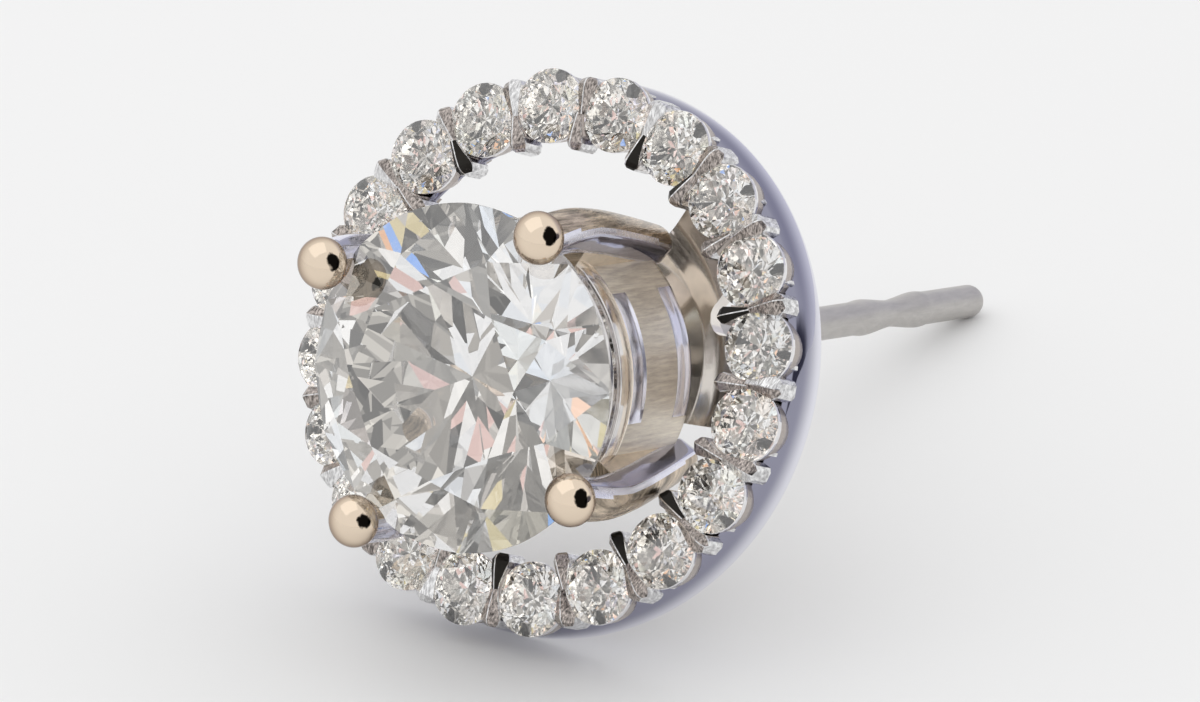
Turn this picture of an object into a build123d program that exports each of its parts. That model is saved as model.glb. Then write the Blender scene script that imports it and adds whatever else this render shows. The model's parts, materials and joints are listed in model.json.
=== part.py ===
from build123d import *
import os
from math import atan2, asin, cos, degrees, hypot, radians, sin, tan

os.makedirs("parts", exist_ok=True)

# ---- driving dimensions (mm, degrees) ----
# centre stone
STONE_R = 3.0
GIRDLE_HALF = 0.06
TABLE_RATIO = 0.56
CROWN_ANGLE = 34.5
PAVILION_ANGLE = 40.9
STAR_R = 0.759          # star facet tips, as a share of the radius
LOWER_R = 0.23          # inner ends of the lower halves, as a share of the radius

# stud setting
BASKET_R = 2.60
BASKET_INNER_R = 2.15
BASKET_BACK = -3.30
PRONG_R = 0.40
PRONG_FLAT = 0.34       # half distance between the two flats of a prong
PRONG_FLAT_BACK = 0.28
PRONG_BACK = -3.74
WEB_HALF = 0.29         # half thickness of the web that joins a prong to the basket
BALL_R = 0.46
BALL_DEPTH = 0.37       # half the height of a flattened ball tip
PRONG_LINE = [(3.15, 0.52), (3.23, -0.35), (3.13, -1.25), (2.96, -2.10), (2.81, -2.80), (2.58, -3.80)]
PRONG_AZIMUTHS = [62.87, 152.87, 242.87, 332.87]
BAR_WIDTH = 0.70
BAR_TOP = -2.95
BAR_BACK = -3.30
POST_R = 0.31
POST_ROOT_R = 0.345
WAIST_R = 0.29          # the post's slight waist, where the jacket hangs
WAIST_Z = -3.95
PIN_START = -4.60       # the full diameter starts behind the jacket's hub
POST_TIP = -17.59
NOTCH_Z = -14.30
NOTCH_R = 0.25
SHOULDER_R = 0.335
SHOULDER_OFFSET = 0.92

# halo jacket, z = 0 at the tables of its stones
HALO_COUNT = 20
HALO_FIRST = 13.75
HALO_R = 4.36
HALO_STONE_R = 0.575
HALO_GIRDLE_Z = -0.16
CUP_R = 0.60
WALL_R = 4.88
WALL_BACK = -1.36
RING_INNER_FRONT = 3.72
RING_INNER_BACK = 4.15
BEAD_R = 0.20
BEAD_RADII = (4.80, 3.90)
ARM_AZIMUTHS = [49.0, 5.0, 215.0, 185.0]
ARM_WIDTH = 1.60
ARM_FILLET = 0.30
HUB_FRONT = -1.55
HUB_BACK = -1.88
HUB_HOLE_R = 0.43

# how the loose jacket sits on the post
JACKET_TILT = 11.0
JACKET_UP = 0.285
JACKET_BACK = -2.30

# ---- centre stone ----
def ring_point(r, azimuth, z):
    return Vector(r * cos(radians(azimuth)), r * sin(radians(azimuth)), z)


def cut_above(solid, a, b, c):
    """Keep the side of the plane through a, b, c that holds the stone's middle."""
    normal = (b - a).cross(c - a).normalized()
    if normal.dot(Vector(0, 0, -0.5) - a) > 0:
        normal = normal * -1
    return solid.split(Plane(origin=a, z_dir=normal), keep=Keep.BOTTOM)


def brilliant():
    r, g = STONE_R, GIRDLE_HALF
    crown_slope, pavilion_slope = tan(radians(CROWN_ANGLE)), tan(radians(PAVILION_ANGLE))
    table_z = g + (1 - TABLE_RATIO) * r * crown_slope
    star_r, low_r = STAR_R * r, LOWER_R * r
    star_z = g + (r - star_r * cos(radians(22.5))) * crown_slope
    low_z = -g - (r - low_r * cos(radians(22.5))) * pavilion_slope
    culet = Vector(0, 0, -g - r * pavilion_slope)
    stone = Pos(0, 0, (table_z + culet.Z) / 2) * Cylinder(r, table_z - culet.Z)
    for i in range(8):
        main, half, nxt = 45.0 * i, 45.0 * i + 22.5, 45.0 * i + 45
        table_a = ring_point(TABLE_RATIO * r, main, table_z)
        table_b = ring_point(TABLE_RATIO * r, nxt, table_z)
        star, low = ring_point(star_r, half, star_z), ring_point(low_r, half, low_z)
        side = Vector(-sin(radians(main)), cos(radians(main)), 0)
        rim_top, rim_low = ring_point(r, main, g), ring_point(r, main, -g)
        stone = cut_above(stone, rim_top, table_a, rim_top + side)
        stone = cut_above(stone, table_a, table_b, star)
        stone = cut_above(stone, rim_low, culet, rim_low + side)
        for other in (main, nxt):
            stone = cut_above(stone, star, ring_point(r, other, g), ring_point(r, half, g))
            stone = cut_above(stone, low, ring_point(r, other, -g), ring_point(r, half, -g))
    return stone


# ---- stud setting ----
def revolved(points):
    outline = Polyline(*[(x, 0, z) for x, z in points], close=True)
    return revolve(make_face(outline), Axis.Z)


def prong():
    line = Spline(*[(x, 0, z) for x, z in PRONG_LINE])
    rod = sweep(Plane(origin=line @ 0, z_dir=line % 0) * Circle(PRONG_R), path=line)
    flank = Polyline((4, PRONG_FLAT, 2), (4, PRONG_FLAT, -1.4), (4, PRONG_FLAT_BACK, PRONG_BACK),
                     (4, -PRONG_FLAT_BACK, PRONG_BACK), (4, -PRONG_FLAT, -1.4), (4, -PRONG_FLAT, 2), close=True)
    rod = rod & extrude(make_face(flank), amount=2.4, dir=(-1, 0, 0))
    rod = rod & revolved([(2.0, 1.0), (3.9, 1.0), (3.56, -1.2), (3.2, -2.7), (2.88, PRONG_BACK),
                          (2.42, PRONG_BACK), (2.42, -3.45), (2.0, -3.20)])
    side = Polyline((2.40, 0, -0.72), (3.15, 0, -0.72), (3.05, 0, -1.40), (2.88, 0, -2.40),
                    (2.66, 0, BASKET_BACK), (2.40, 0, BASKET_BACK), close=True)
    rod = rod + extrude(make_face(side), amount=WEB_HALF, both=True)
    return rod + Pos(*(line @ 0)) * scale(Sphere(BALL_R), by=(1, 1, BALL_DEPTH / BALL_R))


def stud_setting():
    slope = tan(radians(PAVILION_ANGLE))
    r = BASKET_R
    basket = revolved([
        (2.40, -0.60), (r - 0.02, -0.66), (r, -0.69), (r, -0.86), (r - 0.06, -0.89), (r - 0.06, -0.94),
        (r, -0.97), (r, -1.38), (r - 0.05, -1.41), (r - 0.03, -1.72), (r, -1.76), (r, -2.83),
        (r - 0.05, -2.86), (r - 0.03, -3.08), (r - 0.10, -3.25), (r - 0.12, BASKET_BACK),
        (BASKET_INNER_R, BASKET_BACK), (BASKET_INNER_R, -0.75)])
    one = prong()
    setting = basket + [Rot(0, 0, a) * one for a in PRONG_AZIMUTHS]
    bar = Pos(0, 0, -3.0) * Box(4.7, BAR_WIDTH, 1.0)
    bar = bar & revolved([(0, BAR_TOP), (1.05, BAR_TOP), (2.35, -2.72), (2.35, -3.05),
                          (0.90, BAR_BACK), (0, BAR_BACK)])
    boss = revolved([(0, BAR_TOP), (1.05, BAR_TOP), (1.05, -3.18), (0.62, BAR_BACK - 0.06),
                     (0, BAR_BACK - 0.06)])
    setting = setting + [Rot(0, 0, a) * bar for a in PRONG_AZIMUTHS[:2]] + boss
    with BuildSketch(Plane.XZ) as half_post:
        with BuildLine():
            start = NOTCH_Z + SHOULDER_OFFSET + 0.35
            end = NOTCH_Z - SHOULDER_OFFSET - 0.35
            top = Line((0, BAR_BACK), (POST_ROOT_R, BAR_BACK))
            root = Line(top @ 1, (WAIST_R, WAIST_Z))
            flare = Line(root @ 1, (POST_R, PIN_START))
            side = Line(flare @ 1, (POST_R, start))
            bulge = Spline(side @ 1, (SHOULDER_R, NOTCH_Z + SHOULDER_OFFSET), (NOTCH_R, NOTCH_Z),
                           (SHOULDER_R, NOTCH_Z - SHOULDER_OFFSET), (POST_R, end),
                           tangents=[(0, -1), (0, -1)])
            lower = Line(bulge @ 1, (POST_R, POST_TIP + POST_R))
            RadiusArc(lower @ 1, (0, POST_TIP), POST_R)
            Line((0, POST_TIP), (0, BAR_BACK))
        make_face()
    setting = setting + revolve(half_post.sketch, Axis.Z)
    clearance = revolved([
        (0, 1.2), (1.70, 1.2), (1.70, 1.0), (STONE_R + 0.02, GIRDLE_HALF + 0.03),
        (STONE_R + 0.02, -GIRDLE_HALF - 0.02), (0, -GIRDLE_HALF - 0.04 - STONE_R * slope)])
    return setting - clearance


# ---- halo jacket ----
def halo_jacket():
    ring = revolved([
        (WALL_R, WALL_BACK), (WALL_R + 0.02, -0.60), (WALL_R - 0.10, -0.44), (3.80, -0.44),
        (RING_INNER_FRONT, -0.52), (RING_INNER_BACK, WALL_BACK)])
    stone_azimuths = [HALO_FIRST + i * 360 / HALO_COUNT for i in range(HALO_COUNT)]
    cup = Pos(HALO_R, 0, 0) * revolved([(0, -0.62), (0.48, -0.80), (CUP_R, -0.55), (CUP_R, HALO_GIRDLE_Z),
                                        (HALO_STONE_R, HALO_GIRDLE_Z + 0.01), (0.33, 0), (0, 0)])
    ring = ring + [Rot(0, 0, a) * cup for a in stone_azimuths]
    beads = []
    for radius in BEAD_RADII:
        bead = Pos(radius, 0, 0) * revolved([(0, -0.60), (BEAD_R, -0.60), (BEAD_R, -0.10),
                                             (BEAD_R - 0.07, 0.0), (0, 0.02)])
        beads += [Rot(0, 0, a + 180 / HALO_COUNT) * bead for a in stone_azimuths]
    ring = ring + beads

    with BuildSketch(Plane.XZ) as dish_half:
        with BuildLine():
            front = Line((0, HUB_FRONT), (2.40, HUB_FRONT))
            rise = Spline(front @ 1, (3.25, -1.20), (4.00, -0.74), tangents=[(1, 0), (1, 0.30)])
            end = Line(rise @ 1, (4.25, -1.10))
            fall = Spline(end @ 1, (3.40, -1.52), (2.50, HUB_BACK), tangents=[(-1, -0.30), (-1, 0)])
            back = Line(fall @ 1, (0, HUB_BACK))
            Line(back @ 1, front @ 0)
        make_face()
    dish = revolve(dish_half.sketch, Axis.Z)
    with BuildSketch() as plan:
        for a in ARM_AZIMUTHS:
            with Locations(Rot(0, 0, a)):
                Rectangle(4.3, ARM_WIDTH, align=(Align.MIN, Align.CENTER))
        inner = [v for v in plan.vertices() if hypot(v.X, v.Y) < 3.0]
        fillet(inner, ARM_FILLET)
    arms = dish & extrude(plan.sketch, -3.0)
    jacket = ring + arms
    return jacket - Pos(0, 0, -1.7) * Cylinder(HUB_HOLE_R, 2.0)


# ---- resting pose: rim of the jacket and tip of the post both on the ground ----
tilt = radians(JACKET_TILT)
rim_up = JACKET_UP - WALL_R * cos(tilt) + WALL_BACK * sin(tilt)
rim_along = JACKET_BACK + WALL_R * sin(tilt) + WALL_BACK * cos(tilt)
tip_centre = POST_TIP + POST_R
reach = rim_along - tip_centre
lean = atan2(-rim_up, reach) - asin(POST_R / hypot(reach, rim_up))
stud_frame = Plane(origin=(0, 0, 0), x_dir=(1, 0, 0), z_dir=(0, -cos(lean), sin(lean)))
jacket_frame = Plane(
    origin=stud_frame.from_local_coords(Vector(0, JACKET_UP, JACKET_BACK)),
    x_dir=(1, 0, 0), z_dir=(0, -cos(lean + tilt), sin(lean + tilt)))

solids = {
    "centre_stone": brilliant().moved(stud_frame.location),
    "stud_setting": stud_setting().moved(stud_frame.location),
    "halo_jacket": halo_jacket().moved(jacket_frame.location),
}
boxes = [s.bounding_box(optimal=True) for s in solids.values()]
origin = Vector(
    (min(b.min.X for b in boxes) + max(b.max.X for b in boxes)) / 2,
    (min(b.min.Y for b in boxes) + max(b.max.Y for b in boxes)) / 2,
    min(b.min.Z for b in boxes))

for name, solid in solids.items():
    part = solid.solid().moved(Location(origin * -1))
    part.label = name
    export_step(part, f"parts/{name}.step")
    b = part.bounding_box(optimal=True)
    print(name, "volume %.3f" % part.volume, "min", b.min, "max", b.max)
print("lean %.3f deg" % degrees(lean), "origin", origin)
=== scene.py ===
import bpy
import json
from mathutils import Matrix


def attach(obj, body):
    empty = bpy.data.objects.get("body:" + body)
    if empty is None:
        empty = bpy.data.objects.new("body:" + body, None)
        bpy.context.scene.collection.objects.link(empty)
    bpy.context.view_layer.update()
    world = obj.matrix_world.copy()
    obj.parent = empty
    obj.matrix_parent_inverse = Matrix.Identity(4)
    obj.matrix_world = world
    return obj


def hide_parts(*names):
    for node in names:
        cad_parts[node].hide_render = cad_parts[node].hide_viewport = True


bl_info = {
    "name": "Halo Stud Earring",
    "version": (1, 0, 0),
    "blender": (4, 5, 0),
    "location": "View3D > Sidebar > Earring",
    "description": "Builds a stud earring with a loose halo jacket, piece by piece",
    "category": "Add Mesh",
}

import json
import random
from math import asin, cos, degrees, pi, radians, sin, tan

import bmesh
import bpy
from mathutils import Matrix, Vector

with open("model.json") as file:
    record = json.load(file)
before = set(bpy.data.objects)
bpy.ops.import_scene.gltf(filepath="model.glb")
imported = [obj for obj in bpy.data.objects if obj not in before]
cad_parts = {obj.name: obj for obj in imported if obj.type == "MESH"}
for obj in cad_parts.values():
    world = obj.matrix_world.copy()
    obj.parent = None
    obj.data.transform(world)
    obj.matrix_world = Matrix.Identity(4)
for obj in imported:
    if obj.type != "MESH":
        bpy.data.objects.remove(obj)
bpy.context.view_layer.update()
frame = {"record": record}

MM = 0.001
POST_MOUNT = next(m for m in frame["record"]["mounts"] if m["name"] == "ear_post")
# How far the ear_post mount sits behind the centre stone's girdle, mm.
MOUNT_BEHIND_GIRDLE = 8.815


# ---------------------------------------------------------------- settings

class StoneSettings(bpy.types.PropertyGroup):
    radius: bpy.props.FloatProperty(
        name="Centre radius", description="Girdle radius of the centre stone, mm", default=3.0, min=1.0)
    girdle_half: bpy.props.FloatProperty(
        name="Girdle half", description="Half the thinnest girdle, mm", default=0.055, min=0.0)
    table: bpy.props.FloatProperty(
        name="Table", description="Table width as a share of the diameter", default=0.56, subtype="FACTOR",
        min=0.3, max=0.8)
    crown_angle: bpy.props.FloatProperty(
        name="Crown angle", description="Slope of the bezel facets", default=radians(34.5),
        subtype="ANGLE", unit="ROTATION")
    pavilion_angle: bpy.props.FloatProperty(
        name="Pavilion angle", description="Slope of the pavilion mains", default=radians(40.9),
        subtype="ANGLE", unit="ROTATION")
    turn: bpy.props.FloatProperty(
        name="Turn", description="How far the facets are turned about the stone's axis",
        default=radians(8.0), subtype="ANGLE", unit="ROTATION")
    halo_radius: bpy.props.FloatProperty(
        name="Halo stone radius", description="Girdle radius of a halo stone, mm", default=0.655, min=0.1)
    refraction: bpy.props.FloatProperty(
        name="Refraction", description="Refractive index of the stones", default=2.417, min=1.0)
    # How strongly single facets are tinted with painted fire.
    tint: bpy.props.FloatProperty(
        name="Fire", description="How strongly single facets are tinted", default=0.5, subtype="FACTOR",
        min=0.0, max=1.0)
    seed: bpy.props.IntProperty(name="Seed", description="Picks the facets that carry colour", default=7)


class SettingSettings(bpy.types.PropertyGroup):
    wall_radius: bpy.props.FloatProperty(
        name="Basket radius", description="Outer radius of the basket wall, mm", default=2.60)
    inner_radius: bpy.props.FloatProperty(
        name="Basket bore", description="Inner radius of the basket wall, mm", default=2.15)
    back: bpy.props.FloatProperty(
        name="Basket back", description="Height of the basket's back edge below the girdle, mm",
        default=-3.30)
    window_half: bpy.props.FloatProperty(
        name="Bevel half length",
        description="Half the arc that each polished bevel covers between two prongs",
        default=radians(28.0), subtype="ANGLE", unit="ROTATION")
    ball_radius: bpy.props.FloatProperty(
        name="Ball radius", description="Radius of a prong's ball tip across the prong, mm", default=0.46)
    ball_depth: bpy.props.FloatProperty(
        name="Ball depth", description="Half the height of a flattened ball tip, mm", default=0.37)
    prong_back: bpy.props.FloatProperty(
        name="Prong back", description="Height of a prong's back end below the girdle, mm", default=-3.74)
    first_prong: bpy.props.FloatProperty(
        name="First prong", description="Azimuth of the first prong", default=radians(62.87),
        subtype="ANGLE", unit="ROTATION")
    post_radius: bpy.props.FloatProperty(
        name="Post radius", description="Radius of the ear post, mm", default=POST_MOUNT["dims"]["r_mm"])
    post_tip: bpy.props.FloatProperty(
        name="Post tip", description="Height of the post's tip below the girdle, mm", default=-17.59)
    notch: bpy.props.FloatProperty(
        name="Notch", description="Height of the friction notch's middle, mm", default=-14.30)


class JacketSettings(bpy.types.PropertyGroup):
    count: bpy.props.IntProperty(
        name="Halo stones", description="Number of stones in the ring", default=20, min=3)
    first: bpy.props.FloatProperty(
        name="First stone", description="Azimuth of the first halo stone", default=radians(13.75),
        subtype="ANGLE", unit="ROTATION")
    ring_radius: bpy.props.FloatProperty(
        name="Ring radius", description="Radius of the circle of halo stones, mm", default=4.36)
    wall_radius: bpy.props.FloatProperty(
        name="Wall radius", description="Outer radius of the ring's wall, mm", default=4.88)
    wall_back: bpy.props.FloatProperty(
        name="Wall back", description="Height of the ring's back edge below the stones' tables, mm",
        default=-1.36)
    tilt: bpy.props.FloatProperty(
        name="Tilt", description="How far the loose jacket leans on the post", default=radians(11.0),
        subtype="ANGLE", unit="ROTATION")
    up: bpy.props.FloatProperty(
        name="Rise", description="How far the ring's middle sits above the post's axis, mm", default=0.285)
    back: bpy.props.FloatProperty(
        name="Set back", description="Height of the halo tables below the centre girdle, mm", default=-2.30)
    arm_width: bpy.props.FloatProperty(
        name="Arm width", description="Width of a jacket arm, mm", default=1.60)
    hole_radius: bpy.props.FloatProperty(
        name="Hub hole", description="Radius of the hole that the post passes through, mm", default=0.43)


class FinishSettings(bpy.types.PropertyGroup):
    gold: bpy.props.FloatVectorProperty(
        name="Pale gold", description="Colour of the polished pale gold", subtype="COLOR", size=3,
        default=(0.80, 0.67, 0.53))
    brushed: bpy.props.FloatVectorProperty(
        name="Brushed gold", description="Colour of the brushed pale gold", subtype="COLOR", size=3,
        default=(0.93, 0.84, 0.73))
    rhodium: bpy.props.FloatVectorProperty(
        name="White gold", description="Colour of the rhodium finish", subtype="COLOR", size=3,
        default=(0.84, 0.83, 0.84))
    wall: bpy.props.FloatVectorProperty(
        name="Ring wall", description="Colour of the ring's polished wall", subtype="COLOR", size=3,
        default=(0.80, 0.80, 0.87))
    # Painted shade: the ring's wall darkens to this colour under the halo's edge.
    lip: bpy.props.FloatVectorProperty(
        name="Painted shade under the lip", description="Painted shade on the ring's wall just under the halo's edge",
        subtype="COLOR", size=3, default=(0.30, 0.30, 0.38))
    arm: bpy.props.FloatVectorProperty(
        name="Arms", description="Colour of the jacket's arms", subtype="COLOR", size=3,
        default=(0.86, 0.81, 0.76))
    prong: bpy.props.FloatVectorProperty(
        name="Prong gold", description="Colour of the brushed prongs", subtype="COLOR", size=3,
        default=(0.60, 0.50, 0.39))
    bevel: bpy.props.FloatVectorProperty(
        name="Polished bevels", description="Colour of the polished bevels of the basket", subtype="COLOR",
        size=3, default=(0.86, 0.86, 0.96))
    # Painted reflection: the prongs' polished flats get this dark bluish colour.
    flank: bpy.props.FloatVectorProperty(
        name="Prong flank painted dark", description="Colour of the polished flats of the prongs, darkened as painted reflection", subtype="COLOR",
        size=3, default=(0.46, 0.46, 0.55))
    # Painted reflection: near-black glints on small cuts of the halo.
    dark_glint: bpy.props.FloatVectorProperty(
        name="Painted dark glints", description="Colour of the painted dark glints in the deepest cuts of the halo", subtype="COLOR",
        size=3, default=(0.03, 0.028, 0.025))
    # Painted shade: the dark colour of the metal between and under the halo stones, also used on the
    # darkened bead facets.
    groove_shade: bpy.props.FloatVectorProperty(
        name="Groove", description="Colour of the unpolished metal between the halo stones, darkened as painted shade",
        subtype="COLOR", size=3, default=(0.46, 0.41, 0.38))
    steel: bpy.props.FloatVectorProperty(
        name="Bevels", description="Colour of the polished bevels", subtype="COLOR", size=3,
        default=(0.78, 0.76, 0.75))
    post: bpy.props.FloatVectorProperty(
        name="Post", description="Colour of the matte post", subtype="COLOR", size=3,
        default=(0.56, 0.54, 0.52))


class StudioSettings(bpy.types.PropertyGroup):
    floor: bpy.props.FloatVectorProperty(
        name="Floor", description="Colour of the floor", subtype="COLOR", size=3,
        default=(0.86, 0.86, 0.86))
    world: bpy.props.FloatProperty(
        name="Surround", description="Brightness of the white surround", default=1.0, min=0.0)
    lens: bpy.props.FloatProperty(
        name="Lens", description="Focal length", default=250.0, unit="CAMERA", min=10.0)


SETTINGS = (("ear_stones", StoneSettings), ("ear_setting", SettingSettings), ("ear_jacket", JacketSettings),
            ("ear_finish", FinishSettings), ("ear_studio", StudioSettings))


# ---------------------------------------------------------------- frames

def axes_matrix(origin, out):
    """Local millimetres to model metres: X across, Z along out, Y up the face."""
    x = Vector((1, 0, 0))
    y = out.cross(x).normalized()
    turn = Matrix((x, y, out)).transposed().to_4x4()
    return Matrix.Translation(origin) @ turn @ Matrix.Scale(MM, 4)


def stud_matrix():
    out = -Vector(POST_MOUNT["axis"]).normalized()
    girdle = Vector(POST_MOUNT["pos_m"]) + out * MOUNT_BEHIND_GIRDLE * MM
    return axes_matrix(girdle, out)


def jacket_matrix(jacket):
    stud = stud_matrix()
    out = -Vector(POST_MOUNT["axis"]).normalized()
    up = out.cross(Vector((1, 0, 0)))
    lean = (out * cos(jacket.tilt) + up * sin(jacket.tilt)).normalized()
    return axes_matrix(stud @ Vector((0, jacket.up, jacket.back)), lean)


# ---------------------------------------------------------------- mesh tools

def polar(r, a, z):
    return Vector((r * cos(a), r * sin(a), z))


def soften(points, radius=0.03, steps=3, least=radians(10), closed=False, support=True):
    """Rounds the corners of a profile, with a support point on each side so that its flats stay flat."""
    points = [Vector(p).to_2d() if len(p) == 2 else Vector(p) for p in points]
    done, n = [], len(points)
    for i, p in enumerate(points):
        if not closed and i in (0, n - 1):
            done.append(p)
            continue
        a, b = points[i - 1] - p, points[(i + 1) % n] - p
        turn = pi - a.angle(b)
        if turn < least:
            done.append(p)
            continue
        reach = min(radius, a.length * 0.4, b.length * 0.4)
        start, end = p + a.normalized() * reach, p + b.normalized() * reach
        if support:
            done.append(p + a.normalized() * min(reach * 1.25, a.length * 0.45))
        for k in range(steps + 1):
            t = k / steps
            done.append(start * (1 - t) ** 2 + p * 2 * t * (1 - t) + end * t * t)
        if support:
            done.append(p + b.normalized() * min(reach * 1.25, b.length * 0.45))
    return done


def curve_through(points, steps=10):
    """A smooth line through the points."""
    points = [Vector(p) for p in points]
    ends = [points[0] * 2 - points[1], *points, points[-1] * 2 - points[-2]]
    line = []
    for a, b, c, d in zip(ends, ends[1:], ends[2:], ends[3:]):
        for k in range(steps):
            t = k / steps
            bend, twist = 2 * a - 5 * b + 4 * c - d, 3 * b - a - 3 * c + d
            line.append(0.5 * (2 * b + (c - a) * t + bend * t ** 2 + twist * t ** 3))
    line.append(points[-1])
    return line


def lathe(bm, profile, azimuths=96, closed=False, radius_at=None, slot_at=None, grain=None):
    """Turns a profile of (r, z) about Z. A closed profile is a ring's section."""
    if isinstance(azimuths, int):
        azimuths = [2 * pi * k / azimuths for k in range(azimuths)]
    rows = []
    for p in profile:
        r, z = p[0], p[1]
        if r < 1e-6:
            rows.append([bm.verts.new((0, 0, z))])
        else:
            rows.append([bm.verts.new(polar(radius_at(r, z, a) if radius_at else r, a, z))
                         for a in azimuths])
    n, count = len(azimuths), len(profile)
    for i in range(count if closed else count - 1):
        low, high = rows[i], rows[(i + 1) % count]
        z = (profile[i][1] + profile[(i + 1) % count][1]) / 2
        r = (profile[i][0] + profile[(i + 1) % count][0]) / 2
        for k in range(n):
            m = (k + 1) % n
            if len(low) == 1 and len(high) == 1:
                continue
            if len(low) == 1:
                loop = (low[0], high[m], high[k])
            elif len(high) == 1:
                loop = (low[k], low[m], high[0])
            else:
                loop = (low[k], low[m], high[m], high[k])
            face = bm.faces.new(loop)
            if grain:
                turns = azimuths[k], azimuths[m] if m else azimuths[0] + 2 * pi
                for corner in face.loops:
                    a = turns[1] if corner.vert in (low[m % len(low)], high[m % len(high)]) else turns[0]
                    corner[grain].uv = (a * r, corner.vert.co.z)
            if slot_at:
                a = (azimuths[k] + (azimuths[m] if m else azimuths[0] + 2 * pi)) / 2
                face.material_index = slot_at(r, z, a)
    return rows


def tube(bm, rings, caps=True):
    """Skins a list of closed rings of points."""
    rows = [[bm.verts.new(p) for p in ring] for ring in rings]
    n = len(rows[0])
    for low, high in zip(rows, rows[1:]):
        for k in range(n):
            bm.faces.new((low[k], low[(k + 1) % n], high[(k + 1) % n], high[k]))
    if caps:
        bm.faces.new(list(reversed(rows[0])))
        bm.faces.new(rows[-1])
    return rows


EVEN_NORMALS = ("WEIGHTED_NORMAL", dict(mode="FACE_AREA", weight=50))


def rounded(width, segments, angle):
    """A bevel for the edges that turn by more than angle degrees. The width is in millimetres."""
    return "BEVEL", dict(width=width, segments=segments, limit_method="ANGLE", angle_limit=radians(angle),
                         harden_normals=True)


def finish_mesh(name, bm, matrix, materials, body, smooth=True, modifiers=()):
    """Turns a mesh in local millimetres into a piece of the earring that rides on a body."""
    bmesh.ops.recalc_face_normals(bm, faces=bm.faces)
    mesh = bpy.data.meshes.new(name)
    for face in bm.faces:
        face.smooth = smooth
    bm.to_mesh(mesh)
    bm.free()
    for material in materials:
        mesh.materials.append(material)
    piece = bpy.data.objects.new(name, mesh)
    bpy.context.scene.collection.objects.link(piece)
    for kind, values in modifiers:
        modifier = piece.modifiers.new(kind.title(), kind)
        for key, value in values.items():
            setattr(modifier, key, value)
    if modifiers:
        held = bpy.context.evaluated_depsgraph_get()
        baked = bpy.data.meshes.new_from_object(piece.evaluated_get(held), preserve_all_data_layers=True,
                                                depsgraph=held)
        piece.modifiers.clear()
        piece.data = baked
        baked.name = name
        bpy.data.meshes.remove(mesh)
        mesh = baked
    mesh.transform(matrix)
    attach(piece, body)
    return piece


# ---------------------------------------------------------------- materials

def new_material(name):
    """A new material, with its node tree and its surface shader."""
    material = bpy.data.materials.new(name)
    material.use_nodes = True
    tree = material.node_tree
    shader = next(n for n in tree.nodes if n.type == "BSDF_PRINCIPLED")
    return material, tree, shader


def node(tree, kind, **values):
    """Adds a node. A value named in_Some_Input sets that input, and any other sets a property."""
    made = tree.nodes.new(kind)
    for key, value in values.items():
        if key.startswith("in_"):
            made.inputs[key[3:].replace("_", " ")].default_value = value
        else:
            setattr(made, key, value)
    return made


def mix_colours(tree, factor, below, above):
    """A mix of two colours, each of them a socket or a plain (r, g, b, a)."""
    mix = node(tree, "ShaderNodeMix", data_type="RGBA")
    tree.links.new(factor, mix.inputs["Factor"])
    for side, source in (("A", below), ("B", above)):
        if isinstance(source, tuple):
            mix.inputs[side].default_value = source
        else:
            tree.links.new(source, mix.inputs[side])
    return mix.outputs["Result"]


def polish_group():
    """Hairline marks and a slow change of gloss, for every metal finish."""
    name = "Hairline polish"
    if name in bpy.data.node_groups:
        return bpy.data.node_groups[name]
    group = bpy.data.node_groups.new(name, "ShaderNodeTree")
    face = group.interface
    for label, value in (("Scale", 1.0), ("Stretch", 12.0), ("Low", 0.05), ("High", 0.12)):
        face.new_socket(label, in_out="INPUT", socket_type="NodeSocketFloat").default_value = value
    face.new_socket("Coordinates", in_out="INPUT", socket_type="NodeSocketVector")
    face.new_socket("Roughness", in_out="OUTPUT", socket_type="NodeSocketFloat")
    face.new_socket("Marks", in_out="OUTPUT", socket_type="NodeSocketFloat")
    inside, outside = group.nodes.new("NodeGroupInput"), group.nodes.new("NodeGroupOutput")
    link = group.links.new
    stretch = node(group, "ShaderNodeCombineXYZ", in_Y=1.0, in_Z=1.0)
    link(inside.outputs["Stretch"], stretch.inputs["X"])
    scaled = node(group, "ShaderNodeVectorMath", operation="MULTIPLY")
    link(inside.outputs["Coordinates"], scaled.inputs[0])
    link(stretch.outputs[0], scaled.inputs[1])
    marks = node(group, "ShaderNodeTexNoise", in_Detail=4.0, in_Roughness=0.65)
    link(scaled.outputs[0], marks.inputs["Vector"])
    link(inside.outputs["Scale"], marks.inputs["Scale"])
    slow = node(group, "ShaderNodeTexNoise", in_Scale=0.9, in_Detail=2.0)
    link(inside.outputs["Coordinates"], slow.inputs["Vector"])
    mixed = node(group, "ShaderNodeMath", operation="MULTIPLY_ADD")
    mixed.inputs[1].default_value = 0.6
    link(marks.outputs[0], mixed.inputs[0])
    half = node(group, "ShaderNodeMath", operation="MULTIPLY")
    half.inputs[1].default_value = 0.4
    link(slow.outputs[0], half.inputs[0])
    link(half.outputs[0], mixed.inputs[2])
    spread = node(group, "ShaderNodeMapRange", in_From_Min=0.3, in_From_Max=0.7)
    link(mixed.outputs[0], spread.inputs["Value"])
    link(inside.outputs["Low"], spread.inputs["To Min"])
    link(inside.outputs["High"], spread.inputs["To Max"])
    link(spread.outputs[0], outside.inputs["Roughness"])
    link(marks.outputs[0], outside.inputs["Marks"])
    return group


# The colour of the small painted dark reflection on a ball tip.
DARK_REFLECTION_COLOUR = (0.006, 0.005, 0.004, 1)


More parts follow.
